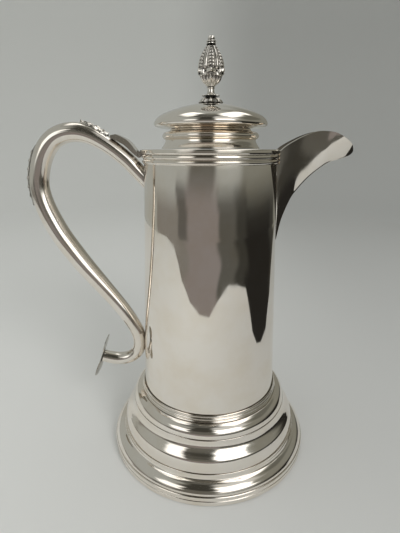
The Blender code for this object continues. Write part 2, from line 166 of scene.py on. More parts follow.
def turned(name, outline, body, material, nodes=(), closed=True, segments=SEGMENTS, shape=None):
    """A piece turned about the axis. shape(radius, height, angle) may change radius and height."""
    outline = filleted(outline, closed)
    points = []
    for k in range(segments):
        angle = 2 * math.pi * k / segments
        for radius, height in outline:
            if shape:
                radius, height = shape(radius, height, angle)
            points.append((radius * math.cos(angle), radius * math.sin(angle), height))
    row = len(outline)
    span = row if closed else row - 1
    faces = []
    for k in range(segments):
        a, b = k * row, (k + 1) % segments * row
        for i in range(span):
            j = (i + 1) % row
            faces.append((a + i, a + j, b + j, b + i))
    return mesh_piece(name, points, faces, body, material, nodes)


def apply_modifiers(obj):
    bpy.context.view_layer.update()
    graph = bpy.context.evaluated_depsgraph_get()
    made = bpy.data.meshes.new_from_object(obj.evaluated_get(graph))
    obj.modifiers.clear()
    obj.data = made


def cut(obj, other, solver="EXACT"):
    """Takes the other mesh away from the piece, and uses it up."""
    step = obj.modifiers.new("Cut", "BOOLEAN")
    step.operation = "DIFFERENCE"
    step.solver = solver
    step.object = other
    apply_modifiers(obj)
    bpy.data.objects.remove(other)
    obj.data.shade_smooth()
    obj.data.set_sharp_from_angle(angle=math.radians(SHARP_ANGLE))


def tool(name, points, faces):
    """A plain closed shape used only for cutting."""
    obj = shape_object(name, points, faces)
    facing_out(obj)
    return obj


def turned_tool(name, low, high):
    """A cone frustum about the axis between two (radius, height) ends."""
    count = SEGMENTS
    points = [(r * math.cos(2 * math.pi * k / count), r * math.sin(2 * math.pi * k / count), z)
              for r, z in (low, high) for k in range(count)]
    faces = [(k, (k + 1) % count, count + (k + 1) % count, count + k) for k in range(count)]
    faces += [tuple(range(count))[::-1], tuple(range(count, 2 * count))]
    return tool(name, points, faces)


def block_tool(low, high):
    points = [(x, y, z) for z in (low[2], high[2]) for y in (low[1], high[1])
              for x in (low[0], high[0])]
    faces = [(0, 2, 3, 1), (4, 5, 7, 6), (0, 1, 5, 4), (2, 6, 7, 3), (0, 4, 6, 2), (1, 3, 7, 5)]
    return tool("block", points, faces)


# ---- materials ----

TARNISH_REACH = 0.0032
TARNISH_COLOUR = (0.03, 0.027, 0.023, 1.0)
SCRATCH_DEPTH = -0.0000015
WAVE_HEIGHT = 0.00009
GRAIN_HEIGHT = 0.000012


def silver(name, colour, roughness, spread=0.05, waves=0.0, scratches=0.25, tarnish=0.0, grain=0.0):
    """Polished silver: uneven gloss, hairline scratches, faint dents, and tarnish in the recesses."""
    material = bpy.data.materials.new(name)
    material.use_nodes = True
    tree = material.node_tree
    nodes, links = tree.nodes, tree.links
    shader = nodes["Principled BSDF"]
    shader.inputs["Metallic"].default_value = 1.0
    place = nodes.new("ShaderNodeTexCoord")

    def noise(scale, detail, stretch=None, turn=None):
        texture = nodes.new("ShaderNodeTexNoise")
        texture.inputs["Scale"].default_value = scale
        texture.inputs["Detail"].default_value = detail
        texture.inputs["Roughness"].default_value = 0.55
        source = place.outputs["Object"]
        if stretch:
            mapping = nodes.new("ShaderNodeMapping")
            mapping.inputs["Scale"].default_value = stretch
            mapping.inputs["Rotation"].default_value = turn
            links.new(source, mapping.inputs["Vector"])
            source = mapping.outputs["Vector"]
        links.new(source, texture.inputs["Vector"])
        return texture.outputs["Fac"]

    def ranged(value, low, high, to_low, to_high):
        node = nodes.new("ShaderNodeMapRange")
        for key, number in zip(("From Min", "From Max", "To Min", "To Max"),
                               (low, high, to_low, to_high)):
            node.inputs[key].default_value = number
        links.new(value, node.inputs["Value"])
        return node.outputs["Result"]

    def mixed(factor, first, second):
        node = nodes.new("ShaderNodeMix")
        node.data_type = "RGBA"
        links.new(factor, node.inputs["Factor"])
        for socket, value in ((node.inputs[6], first), (node.inputs[7], second)):
            if isinstance(value, tuple):
                socket.default_value = value
            else:
                links.new(value, socket)
        return node.outputs[2]

    def joined(operation, first, second):
        node = nodes.new("ShaderNodeMath")
        node.operation = operation
        for socket, value in zip(node.inputs, (first, second)):
            if isinstance(value, (int, float)):
                socket.default_value = value
            else:
                links.new(value, socket)
        return node.outputs[0]

    cloudy = noise(55.0, 4.0)
    colour_a = (*colour, 1.0)
    colour_b = (colour[0] * 0.95, colour[1] * 0.925, colour[2] * 0.88, 1.0)
    base = mixed(ranged(cloudy, 0.4, 0.7, 0.0, 1.0), colour_a, colour_b)
    hair_a = noise(9.0, 2.0, (260.0, 8.0, 30.0), (0.3, 0.2, 0.5))
    hair_b = noise(9.0, 2.0, (12.0, 300.0, 26.0), (0.9, 0.4, -0.6))
    hairs = joined("ADD", ranged(hair_a, 0.64, 0.72, 0.0, 0.5), ranged(hair_b, 0.64, 0.72, 0.0, 0.5))
    gloss = joined("ADD", ranged(noise(140.0, 5.0), 0.35, 0.7, roughness, roughness + spread),
                   joined("MULTIPLY", hairs, 0.12 * scratches))
    if tarnish:
        nook = nodes.new("ShaderNodeAmbientOcclusion")
        nook.samples = 8
        nook.inputs["Distance"].default_value = TARNISH_REACH
        dark = ranged(nook.outputs["AO"], 0.5, 0.97, tarnish, 0.0)
        base = mixed(dark, base, TARNISH_COLOUR)
        gloss = joined("ADD", gloss, joined("MULTIPLY", dark, 0.3))
    links.new(base, shader.inputs["Base Color"])
    links.new(gloss, shader.inputs["Roughness"])

    normal = None
    for value, distance in ((hairs, SCRATCH_DEPTH * scratches),
                            (noise(38.0, 1.0), WAVE_HEIGHT * waves),
                            (noise(2600.0, 2.0), GRAIN_HEIGHT * grain)):
        if not distance:
            continue
        bump = nodes.new("ShaderNodeBump")
        bump.inputs["Strength"].default_value = 1.0
        bump.inputs["Distance"].default_value = abs(distance)
        bump.invert = distance < 0
        links.new(value, bump.inputs["Height"])
        if normal:
            links.new(normal, bump.inputs["Normal"])
        normal = bump.outputs["Normal"]
    links.new(normal, shader.inputs["Normal"])
    return material


PALE = (0.945, 0.893, 0.83)
BODY_SILVER = silver("body_silver", PALE, 0.035, 0.04, waves=1.0)
BASE_SILVER = silver("base_silver", PALE, 0.05, 0.05, waves=0.35)
LID_SILVER = silver("lid_silver", PALE, 0.05, 0.05, waves=0.35)
SPOUT_SILVER = silver("spout_silver", PALE, 0.05, 0.05, waves=0.4)
HANDLE_SILVER = silver("handle_silver", (0.90, 0.85, 0.79), 0.09, 0.07, waves=0.8, scratches=0.6,
                       tarnish=0.35)
CAST_SILVER = silver("cast_silver", (0.93, 0.89, 0.835), 0.10, 0.08, scratches=0.3, tarnish=0.92,
                     grain=0.6)
# A darker copy of the silver: painted shade standing in for the dark room that the back leaf and the
# scroll-end petals reflect. Its recesses also take the tarnish.
SHADED_DARK_SILVER = silver("painted_shade_silver", (0.56, 0.54, 0.50), 0.15, 0.10, scratches=0.4, tarnish=0.9)
INNER_SILVER = silver("inner_silver", (0.84, 0.80, 0.73), 0.22, 0.12, scratches=0.6, grain=0.5)


# ---- body ----

BODY_LOW = (47.58, 43.1)
BODY_HIGH = (41.1, 204.9)
WALL = 1.0
HOLE_RADIUS = 1.5
HOLE_PITCH = 6.0
HOLE_TOP = 194.0
HOLE_ROWS = 4
HOLE_SIDES = 28
HINGE_HALF = 8.0


def body_radius(z):
    """The outer radius of the tapered body at a height."""
    share = (z - BODY_LOW[1]) / (BODY_HIGH[1] - BODY_LOW[1])
    return BODY_LOW[0] + (BODY_HIGH[0] - BODY_LOW[0]) * share


def hole_tool(y, z):
    """A round bar through the body wall on the side of the spout."""
    turns = [k * math.pi / (HOLE_SIDES / 2) for k in range(HOLE_SIDES)]
    points = [(x, y + math.cos(t) * HOLE_RADIUS, z + math.sin(t) * HOLE_RADIUS)
              for x in (36.0, 48.0) for t in turns]
    faces = [(k, (k + 1) % HOLE_SIDES, HOLE_SIDES + (k + 1) % HOLE_SIDES, HOLE_SIDES + k)
             for k in range(HOLE_SIDES)]
    faces += [tuple(range(HOLE_SIDES)), tuple(range(HOLE_SIDES, 2 * HOLE_SIDES))]
    return tool("strainer_hole", points, faces)


def body_core():
    """The inside of the body's outer surface, which the spout and the handle stop at."""
    return turned_tool("inside", (body_radius(20) + 0.08, 20), (body_radius(207) + 0.08, 207))


def make_body():
    levels = np.linspace(BODY_HIGH[1], BODY_LOW[1], 60)
    outer = [(body_radius(z), z) for z in levels]
    inner = [(body_radius(z) - WALL, z) for z in levels[::-1]]
    wall = turned("body_shell", outer + inner, "pot", BODY_SILVER, ["body_wall"])
    for row in range(HOLE_ROWS):
        for column in range(HOLE_ROWS - row):
            y = (column - (HOLE_ROWS - 1 - row) / 2) * HOLE_PITCH
            cut(wall, hole_tool(y, HOLE_TOP - row * HOLE_PITCH))

    r = body_radius(45.0) - WALL - GAP
    turned("body_bottom", [
        (0.0, 47.7), *catmull([(0.6 * r, 47.2), (0.85 * r, 46.8), (r - 0.6, 46.5)], 4)[:-1],
        (r - 0.05, 46.2, 0.3), (r, 45.0, 0.3), (0.6 * r, 46.0), (0.0, 46.5),
    ], "pot", INNER_SILVER, ["body_floor"], closed=False)

    r = body_radius(199.9) + HUG
    rim = turned("rim_reeds", [
        (42.0, 205.2, 0.25), (42.35, 205.0, 0.2),
        *catmull([(42.5, 204.6), (42.62, 204.0), (42.5, 203.4), (42.15, 203.0)], 5),
        (41.85, 202.75, 0.1), (41.85, 202.35, 0.1),
        *catmull([(42.1, 202.1), (42.38, 201.6), (42.38, 200.9), (42.1, 200.45)], 5),
        (41.8, 200.2, 0.1), (41.75, 199.9, 0.1),
        (r, 199.9), (r - 0.2, 205.2),
    ], "pot", BODY_SILVER, ["rim_moulding"])
    low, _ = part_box("rim_moulding")
    handle_side = (low.x - AXIS.x) / MM
    cut(rim, block_tool((handle_side - 5, -HINGE_HALF, 190.0), (handle_side + 13, HINGE_HALF, 215.0)))


def make_base():
    inner = BODY_LOW[0] + 0.15
    turned("junction_reeds", [
        (inner + 0.05, 47.6, 0.1),
        *catmull([(48.35, 47.4), (48.62, 46.8), (48.5, 46.2)], 5), (48.15, 45.85, 0.08),
        *catmull([(48.65, 45.55), (48.95, 44.95), (48.8, 44.35)], 5), (48.5, 44.0, 0.08),
        *catmull([(49.0, 43.8), (49.3, 43.45)], 4), (49.3, 43.0, 0.1), (inner, 43.0),
    ], "pot", BASE_SILVER, ["junction_moulding"])
    turned("base_shoulder", [
        (44.5, 42.7, 0.2), (49.7, 42.7, 0.3),
        *catmull([(50.4, 42.5), (51.9, 41.8), (53.5, 40.5), (54.7, 38.6), (55.3, 36.8)], 6),
        (55.55, 35.4, 0.25), (54.4, 35.4, 0.2),
        *catmull([(53.5, 38.0), (52.4, 39.8), (50.6, 41.2), (49.6, 41.7)], 4), (44.5, 41.7, 0.2),
    ], "pot", BASE_SILVER, ["base_upper_tier"])
    turned("base_drum", [
        (53.0, 35.1, 0.2), (55.7, 35.1, 0.35),
        *catmull([(55.95, 34.4), (56.2, 32.4), (57.0, 30.2), (58.3, 28.2), (60.0, 26.0),
                  (61.3, 24.1), (62.2, 21.4), (62.6, 18.5)], 6),
        (62.75, 16.2, 0.3), (61.7, 16.2, 0.2),
        *catmull([(61.4, 20.0), (60.2, 23.8), (57.2, 27.7), (55.4, 31.4)], 4),
        (54.9, 34.1, 0.3), (53.0, 34.1, 0.2),
    ], "pot", BASE_SILVER, ["base_middle_tier"])
    turned("base_skirt", [
        (60.5, 15.9, 0.2), (63.1, 15.9, 0.3), (63.35, 14.0, 0.6), (63.8, 12.75, 0.5),
        *catmull([(64.3, 12.45), (65.8, 12.05), (67.4, 11.1), (69.0, 9.6), (70.1, 7.95)], 6),
        (70.45, 6.6, 0.3), (69.3, 6.6, 0.2),
        *catmull([(68.2, 8.9), (66.6, 10.3), (63.0, 11.6)], 4), (62.3, 14.9, 0.3), (60.5, 14.9, 0.2),
    ], "pot", BASE_SILVER, ["base_lower_tier"])
    turned("foot_ring", [
        (70.5, 6.3, 0.25), *catmull([(70.9, 6.0), (71.1, 5.4), (71.1, 4.4), (71.0, 3.75)], 5),
        (70.75, 3.5, 0.08), (70.75, 3.25, 0.08), (71.1, 3.0, 0.25), (71.1, 0.0, 0.35),
        (69.0, 0.0, 0.3), (69.0, 6.3, 0.3),
    ], "pot", BASE_SILVER, ["foot_band"])


# ---- spout ----

KEEL_LINE = (
    (42.6, 148.5), (43.9, 152.0), (46.4, 164.8), (51.4, 178.3), (55.9, 185.0), (62.7, 192.7),
    (72.4, 200.2), (79.5, 202.7), (85.2, 204.7), (87.4, 206.6),
)
EDGE_LINE = (
    (38.0, 203.6, 9.0), (41.7, 207.2, 9.0), (46.3, 210.9, 8.4), (55.5, 215.7, 6.5),
    (63.8, 218.4, 5.5), (70.5, 218.6, 5.2), (75.7, 217.6, 5.5), (81.2, 214.8, 5.4),
    (85.4, 211.6, 4.0), (87.6, 207.7, 0.9),
)
SPOUT_BULGE = 0.1
KEEL_ROUND = 0.035
SPOUT_SHEET = 1.1


def make_spout():
    """An open beak: at each station two nearly straight sides rise from a narrow keel."""
    stations, rows = 96, 65
    keel = even(catmull(KEEL_LINE, 20), stations)
    edge = even(catmull(EDGE_LINE, 20), stations)
    points, faces = [], []
    for (kx, kz), (ex, ez, half) in zip(keel, edge):
        for j in range(rows):
            side = 2 * j / (rows - 1) - 1
            rise = math.hypot(side, KEEL_ROUND) - KEEL_ROUND * (1 - abs(side))
            bulge = SPOUT_BULGE * (math.sin(abs(side) * math.pi / 2) - abs(side))
            lateral = math.copysign(half * (abs(side) + bulge), side)
            points.append((kx + (ex - kx) * rise, lateral, kz + (ez - kz) * rise))
    for i in range(stations - 1):
        for j in range(rows - 1):
            a = i * rows + j
            faces.append((a, a + 1, a + rows + 1, a + rows))
    beak = mesh_piece("spout_beak", points, faces, "pot", SPOUT_SILVER, ["spout"])
    sheet = beak.modifiers.new("Sheet", "SOLIDIFY")
    sheet.thickness = SPOUT_SHEET * MM
    sheet.offset = 0.0
    apply_modifiers(beak)
    facing_out(beak)
    cut(beak, body_core(), "MANIFOLD")
    cut(beak, turned_tool("collar", (42.85, 199.7), (42.85, 230.0)), "MANIFOLD")


# ---- handle ----

HANDLE_LINE = (
    (-36.0, 184.2, 5.0), (-44.4, 193.2, 5.0), (-51.3, 200.5, 5.0), (-57.2, 205.6, 5.0),
    (-62.9, 209.8, 5.05), (-68.3, 213.2, 5.2), (-73.9, 216.1, 5.45), (-80.1, 218.0, 5.7),
    (-86.3, 218.4, 5.9), (-92.7, 217.1, 6.0), (-98.8, 213.8, 6.1), (-103.7, 208.4, 6.2),
    (-107.6, 200.9, 6.2), (-110.1, 192.1, 6.15), (-110.7, 185.0, 6.15), (-109.9, 178.2, 6.25),
    (-108.0, 170.8, 6.45), (-104.8, 162.5, 6.65), (-100.0, 152.6, 6.7), (-93.7, 142.5, 6.65),
    (-85.5, 130.6, 6.4), (-76.6, 119.0, 5.9), (-67.9, 107.6, 5.4), (-61.2, 98.2, 5.15),
    (-55.6, 88.9, 5.0), (-51.7, 80.2, 4.9), (-50.9, 72.3, 4.7), (-53.0, 65.3, 4.6),
    (-58.6, 60.4, 4.55), (-66.2, 58.6, 4.6), (-73.3, 59.4, 4.5), (-78.5, 60.7, 4.4),
)


def along_handle(count):
    """Evenly spaced stations: centre, outward direction and radius."""
    line = even(catmull(HANDLE_LINE, 20), count)
    made = []
    for i, (x, z, radius) in enumerate(line):
        a, b = line[max(i - 1, 0)], line[min(i + 1, count - 1)]
        along = Vector((b[0] - a[0], 0, b[1] - a[1])).normalized()
        made.append((Vector((x, 0, z)), Vector((along.z, 0, -along.x)), radius))
    return made


LEAF_EDGE = 0.12


def make_handle():
    stations = along_handle(300)
    sides = 64
    points, faces = [], []
    for centre, outward, radius in stations:
        for k in range(sides):
            angle = 2 * math.pi * k / sides
            offset = outward * (radius * math.cos(angle)) + Vector((0, radius * math.sin(angle), 0))
            points.append(centre + offset)
    for i in range(len(stations) - 1):
        for k in range(sides):
            a, b = i * sides + k, i * sides + (k + 1) % sides
            faces.append((a, b, b + sides, a + sides))
    faces += [tuple(range(sides)), tuple(range(len(points) - sides, len(points)))]
    tube = mesh_piece("handle_scroll", points, faces, "pot", HANDLE_SILVER, ["handle_tube"])
    cut(tube, body_core())


def leaf_on_tube(name, node, within, half_angle, height, rows, material):
    """A cast leaf along the outside of the tube. height(share, across) is its thickness."""
    columns = 41
    stations = [s for s in along_handle(1600) if within(s[0].x, s[0].z)]
    pick = np.linspace(0, len(stations) - 1, rows).round().astype(int)
    top, low = [], []
    for i, k in enumerate(pick):
        centre, outward, radius = stations[k]
        share = i / (rows - 1)
        reach = math.radians(half_angle(share))
        for j in range(columns):
            across = 2 * j / (columns - 1) - 1
            angle = reach * across
            way = outward * math.cos(angle) + Vector((0, math.sin(angle), 0))
            base = radius + HUG
            low.append(centre + way * base)
            top.append(centre + way * (base + max(LEAF_EDGE, height(share, across))))
    count = len(top)
    faces = []
    for i in range(rows - 1):
        for j in range(columns - 1):
            a = i * columns + j
            faces.append((a, a + 1, a + columns + 1, a + columns))
            faces.append((count + a, count + a + columns, count + a + columns + 1, count + a + 1))
    border = list(range(columns))
    border += [i * columns + columns - 1 for i in range(1, rows)]
    border += [(rows - 1) * columns + j for j in range(columns - 2, -1, -1)]
    border += [i * columns for i in range(rows - 2, 0, -1)]
    for a, b in zip(border, border[1:] + border[:1]):
        faces.append((a, b, count + b, count + a))
    return mesh_piece(name, top + low, faces, "pot", material, [node], LEAF_SHARP_ANGLE)


def make_leaves():
    def top_height(share, across):
        lobe = (share * 4.0) % 1.0
        curl = lobe ** 3 * (1 - max(0.0, lobe - 0.93) / 0.07)
        side = abs(across)
        ridge = 0.55 * math.exp(-(across / 0.16) ** 2)
        vein = 0.18 * math.cos(side * 9.0 - share * 30.0)
        body = 0.75 + ridge + vein
        return (body + 1.25 * curl * math.exp(-((side - 0.45) / 0.38) ** 2)) * (1 - side ** 6)

    leaf_on_tube("leaf_on_top", "handle_leaf", lambda x, z: -81.4 < x < -66.4 and z > 200,
                 lambda s: 8 + 28 * (1 - s ** 2.2) ** 0.5 * (0.86 + 0.14 * math.cos(8 * math.pi * s)),
                 top_height, 121, CAST_SILVER)

    def back_height(share, across):
        side = abs(across)
        lobe = (share * 7.0) % 1.0
        ridge = 0.5 * math.exp(-(across / 0.13) ** 2)
        vein = 0.16 * math.cos(side * 10.0 + share * 44.0)
        curl = 0.75 * lobe ** 2 * (1 - max(0.0, lobe - 0.88) / 0.12) * (0.35 + 0.65 * side)
        return (0.5 + ridge + 1.4 * vein + curl) * (1 - side ** 8) * min(1.0, 6 * share + 0.3)

    # The back leaf takes the darker silver: painted shade for the dark room it reflects.
    leaf_on_tube("leaf_on_back", "handle_back_leaf",
                 lambda x, z: x < -100 and 174.5 < z < 207.5,
                 lambda s: 5 + 30 * math.sin(math.pi * min(s + 0.02, 1.0)) ** 0.5
                 * (0.9 + 0.1 * math.cos(14 * math.pi * s)),
                 back_height, 161, SHADED_DARK_SILVER)


TERMINAL_TILT = 18.1
PETAL_REACH = 17.2
PETAL_HALF = 6.3
PETAL_TWIST = 7.0


def make_terminal():
    """Two petals on a plate across the open end of the scroll, with a boss between them."""
    low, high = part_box("handle_terminal")
    centre = (low + high) / 2
    tilt = math.radians(TERMINAL_TILT)
    along = Vector((math.sin(tilt), 0, math.cos(tilt)))
    normal = Vector((-math.cos(tilt), 0, math.sin(tilt)))
    across = normal.cross(along)
    middle = (centre - AXIS) / MM
    rings, sides = 18, 96
    sheets = {1: [], -1: []}
    for face in (1, -1):
        for i in range(rings + 1):
            share = i / rings
            for k in range(sides):
                turn = 2 * math.pi * k / sides
                reach = PETAL_REACH * math.cos(turn)
                petal = PETAL_HALF * abs(math.sin(2 * turn))
                waist = 4.6 * abs(math.sin(turn)) ** 2
                side = math.copysign(max(petal, waist), math.sin(turn))
                u, v = reach * share, side * share
                bend = math.acos(min(1.0, abs(u) / PETAL_REACH))
                width = max(1.2, PETAL_HALF * abs(math.sin(2 * bend)))
                rib = 0.16 * math.exp(-(v / 0.7) ** 2) * min(1.0, abs(u) / 4)
                veins = 0.07 * math.cos(abs(v) * 2.6 - abs(u) * 1.5) * min(1.0, abs(u) / 5)
                boss = 0.22 * max(0.0, 1 - (math.hypot(u, v) / 4.4) ** 2)
                cup = -0.14 * (1 - min(1.0, (v / width) ** 2)) * min(1.0, abs(u) / 6)
                thick = 0.42 * (1 - 0.62 * share ** 6)
                lift = face * thick + (rib + veins + boss + cup if face == 1 else cup)
                twist = math.radians(PETAL_TWIST) * min(1.0, max(0.0, -u / 8.0))
                lean = across * math.cos(twist) - normal * math.sin(twist)
                sheets[face].append(middle + along * u + lean * v + normal * lift)
    points = sheets[1] + sheets[-1]
    half = len(sheets[1])
    faces = []
    for offset in (0, half):
        for i in range(rings):
            for k in range(sides):
                a, b = offset + i * sides + k, offset + i * sides + (k + 1) % sides
                faces.append((a, b, b + sides, a + sides))
    last = rings * sides
    for k in range(sides):
        a, b = last + k, last + (k + 1) % sides
        faces.append((a, half + a, half + b, b))
    # The petals take the darker silver: painted shade for the dark room they reflect.
    mesh_piece("scroll_end_leaf", points, faces, "pot", SHADED_DARK_SILVER, ["handle_terminal"],
               LEAF_SHARP_ANGLE)


# ---- lid ----

def make_lid():
    flange = turned("lid_plate", [
        (28.6, 208.2, 0.3), (42.1, 208.2, 0.5),
        *catmull([(42.55, 207.95), (42.78, 207.5), (42.8, 206.9), (42.8, 206.3), (42.6, 205.75)], 4),
        (42.35, 205.5, 0.15), (40.0, 205.5, 0.3), (40.0, 206.9, 0.3), (28.6, 206.9, 0.3),
    ], "lid", LID_SILVER, ["lid_flange"])
    cut(flange, block_tool((-60, -HINGE_HALF, 200), (-40.9, HINGE_HALF, 215)))
    turned("lid_collar", [
        (39.2, 206.6, 0.2), (39.2, 201.0, 0.3), (38.9, 200.5, 0.2), (38.3, 200.5, 0.2),
        (38.3, 206.6, 0.2),
    ], "lid", LID_SILVER, ["lid_bezel"])
    turned("lid_waist", [
        (24.6, 219.7, 0.2), *catmull([(24.95, 219.1), (25.5, 218.7), (26.6, 218.4)], 5),
        *catmull([(27.6, 218.1), (28.8, 217.5), (29.5, 216.5), (29.6, 215.5), (29.1, 214.5),
                  (28.3, 213.9)], 8),
        *catmull([(27.85, 213.5), (28.05, 212.3), (29.0, 210.7), (30.0, 209.4)], 6),
        (30.5, 208.5, 0.1), (29.4, 208.5, 0.1),
        *catmull([(28.2, 210.0), (27.1, 211.8), (26.9, 213.5)], 4),
        *catmull([(28.0, 214.6), (28.5, 215.7), (28.2, 216.7), (27.0, 217.3)], 4),
        (24.3, 217.7, 0.4), (23.9, 219.7, 0.1),
    ], "lid", LID_SILVER, ["lid_neck"])
    turned("lid_cap", [
        *catmull([(1.6, 234.6), (4.0, 234.45), (8.0, 234.05), (12.2, 233.35), (17.0, 232.25),
                  (21.3, 231.05), (25.0, 229.8), (28.4, 228.45), (31.2, 227.0), (33.1, 225.4),
                  (34.15, 223.8), (34.4, 222.6), (33.9, 221.5), (32.4, 220.9), (30.2, 220.55),
                  (28.0, 220.35), (26.2, 220.1)], 7),
        (25.2, 219.9, 0.2), (24.0, 219.9, 0.2), (24.0, 220.8, 0.2),
        *catmull([(27.5, 221.2), (31.6, 221.8), (33.0, 222.6), (33.0, 223.7), (30.3, 226.4),
                  (26.0, 228.2), (21.0, 230.0), (14.0, 231.9), (8.0, 233.0)], 4),
        (1.6, 233.5, 0.05),
    ], "lid", LID_SILVER, ["lid_dome"])


# ---- finial ----

def leaf_wave(angle, count):
    """1 at the middle of each of so many leaves round the axis, and 0 between them."""
    return 0.5 + 0.5 * math.cos(count * angle)


def make_rosette():
    """Eight pointed leaves at the foot of the finial."""
    def rosette(radius, height, angle):
        if radius < 2.5:
            return radius, height
        share = (radius - 2.5) / 4.9
        tip = leaf_wave(angle, 8)
        edge = 0.56 + 0.44 * tip ** 0.7
        rib = 0.28 * math.exp(-((tip - 1) / 0.12) ** 2) * share * (1 - 0.5 * share)
        return 2.5 + (radius - 2.5) * edge, height + (rib if height > 235.2 - 0.4 * share else 0)

    turned("leaf_rosette", [
        (1.6, 237.9, 0.1),
        *catmull([(2.6, 237.8), (3.6, 237.75), (4.9, 237.4), (6.1, 236.55), (7.0, 235.5),
                  (7.4, 234.95)], 5),
        (7.2, 234.6, 0.1),
        *catmull([(6.4, 235.2), (5.0, 235.5), (3.4, 235.3)], 4), (1.6, 235.0, 0.1),
    ], "lid", CAST_SILVER, ["finial_base"], shape=rosette, segments=256)


def make_neck():
    """The stem, with a thin leafy collar."""
    def collar(radius, height, angle):
        if radius < 2.6:
            return radius, height
        tip = leaf_wave(angle + math.pi / 8, 8)
        return 2.6 + (radius - 2.6) * (0.62 + 0.38 * tip ** 0.7), height

    turned("finial_neck", [
        (0.0, 243.2), (2.1, 243.2, 0.2),
        *catmull([(2.25, 242.8), (2.0, 242.2), (2.1, 241.2), (2.25, 240.3), (2.75, 239.6),
                  (3.6, 239.15), (4.8, 239.0)], 5),
        (5.6, 238.85, 0.15), (5.6, 238.55, 0.1), (4.4, 238.5), (3.0, 238.2, 0.3),
        (1.6, 238.2, 0.1), (1.6, 241.6, 0.1), (0.0, 241.6),
    ], "lid", CAST_SILVER, ["finial_stem"], closed=False, shape=collar, segments=192)


def make_calyx():
    """A fluted cup whose six leaf tips curl outward."""
    def calyx(radius, height, angle):
        share = min(1.0, max(0.0, (height - 243.5) / 8.9))
        leaf = leaf_wave(angle + math.pi / 2, 6)
        vein = leaf_wave(angle + math.pi / 2, 18)
        flute = 1 - 0.12 * share * (1 - leaf) - 0.12 * min(1.0, 3 * share) * (1 - vein)
        if radius > 6.9:
            reach = (radius - 6.9) / 2.1
            flute = 1 - 0.30 * reach * (1 - leaf ** 0.6) - 0.05 * (1 - vein)
            height = height - 1.5 * reach * (1 - leaf ** 0.6)
        return radius * flute, height

    turned("leaf_calyx", [
        (0.0, 248.6), (4.2, 248.7, 0.3),
        *catmull([(5.4, 249.4), (6.4, 250.6), (7.2, 251.9), (7.9, 252.55), (8.6, 252.5),
                  (9.0, 251.8), (8.9, 251.0), (8.5, 250.6)], 5),
        *catmull([(8.2, 250.75), (7.9, 251.1), (7.5, 251.05)], 4),
        *catmull([(7.2, 250.4), (7.05, 249.6), (6.7, 248.4), (6.0, 247.0), (5.0, 245.8),
                  (3.6, 244.7)], 5),
        (2.3, 243.5, 0.2), (0.0, 243.5),
    ], "lid", CAST_SILVER, ["finial_calyx"], closed=False, shape=calyx, segments=288)


def make_bud():
    """Six beaded panels between smooth ribs."""
    def bud(radius, height, angle):
        if radius < 2.8 or height < 251.6:
            return radius, height
        sector = math.pi / 3
        local = (angle + sector) % sector - sector / 2
        rib_at = (sector / 2 - abs(local)) * radius
        fade = min(1.0, (height - 251.6) / 1.5) * min(1.0, (265.4 - height) / 1.2)
        rib = 0.42 * math.exp(-(rib_at / 0.75) ** 2)
        groove = -0.34 * math.exp(-((rib_at - 1.45) / 0.42) ** 2)
        bead = 0.0
        room = max(0.5, radius * sector / 2 - 1.7)
        column = local * radius / room
        if abs(column) < 1.0:
            pitch = 1.75
            lean = 0.35 * abs(column)
            row = (height - 251.9) / pitch + lean
            up = (row % 1.0) - 0.5
            side = (abs(column) - 0.5) * 2
            bead = 0.68 * math.sqrt(max(0.0, 1 - (up / 0.5) ** 2 - side ** 2 * 0.9))
        return radius - 0.55 + (rib + groove + bead + 0.05) * fade, height

    heights = np.linspace(265.4, 252.6, 150)
    shape_line = catmull([(2.8, 265.4), (3.4, 264.5), (4.7, 262.4), (6.1, 260.0), (7.1, 257.6),
                          (7.6, 255.2), (7.8, 253.8), (7.5, 252.6)], 12)
    line_z = [z for _, z in shape_line][::-1]
    line_r = [r for r, _ in shape_line][::-1]
    side = [(float(np.interp(z, line_z, line_r)), float(z)) for z in heights]
    turned("beaded_bud", [(0.0, 265.4), *side, (6.9, 251.9, 0.3), (5.2, 250.6, 0.3), (0.0, 249.2)],
           "lid", CAST_SILVER, ["finial_bud"], closed=False, shape=bud, segments=480)


def make_knob():
    """A small knob over two rings."""
    turned("finial_knob", [
        (0.0, 270.4),
        *catmull([(0.5, 270.35), (1.3, 270.0), (1.95, 269.3), (2.1, 268.6), (1.8, 267.95)], 5),
        (1.7, 267.8, 0.05),
        *catmull([(2.25, 267.75), (2.7, 267.55), (2.8, 267.2), (2.6, 266.95)], 5),
        (2.0, 266.8, 0.05), (2.0, 266.55, 0.05), (2.75, 266.4, 0.1), (2.75, 265.95, 0.1),
        (2.2, 265.7, 0.1), (0.0, 265.7),
    ], "lid", CAST_SILVER, ["finial_tip"], closed=False, segments=96)


def keep_cad_pieces():
    """Small hardware keeps its CAD shape, with softened edges."""
    for name in ("hinge_arm", "hinge_pin", "lid_hinge_leaf", "finial_stud", "finial_washer",
                 "finial_nut"):
        obj = frame["nodes"][name]
        material = HANDLE_SILVER if name in ("hinge_arm", "lid_hinge_leaf") else INNER_SILVER
        obj.data.materials.clear()
        obj.data.materials.append(material)
        soft = obj.modifiers.new("Soft edges", "BEVEL")
        soft.width = (0.45 if name == "hinge_arm" else 0.15) * MM
        soft.segments = 3
        soft.limit_method = "ANGLE"
        soft.angle_limit = math.radians(35)


# ---- studio ----

PAPER = (0.76, 0.76, 0.74)
# Painted shade on the paper: its tone falls to this share towards the spout's side, between these x
# positions in metres.
PAPER_PAINTED_SHADE = 0.69
PAPER_PAINTED_SHADE_FROM, PAPER_PAINTED_SHADE_TO = -0.22, 0.30
FLOOR_Z = -0.0002
FLOOR_R = 1.2
BOWL = 0.8
ROOM_R = 1.01
ROOM_FLOOR_Z = 0.0006


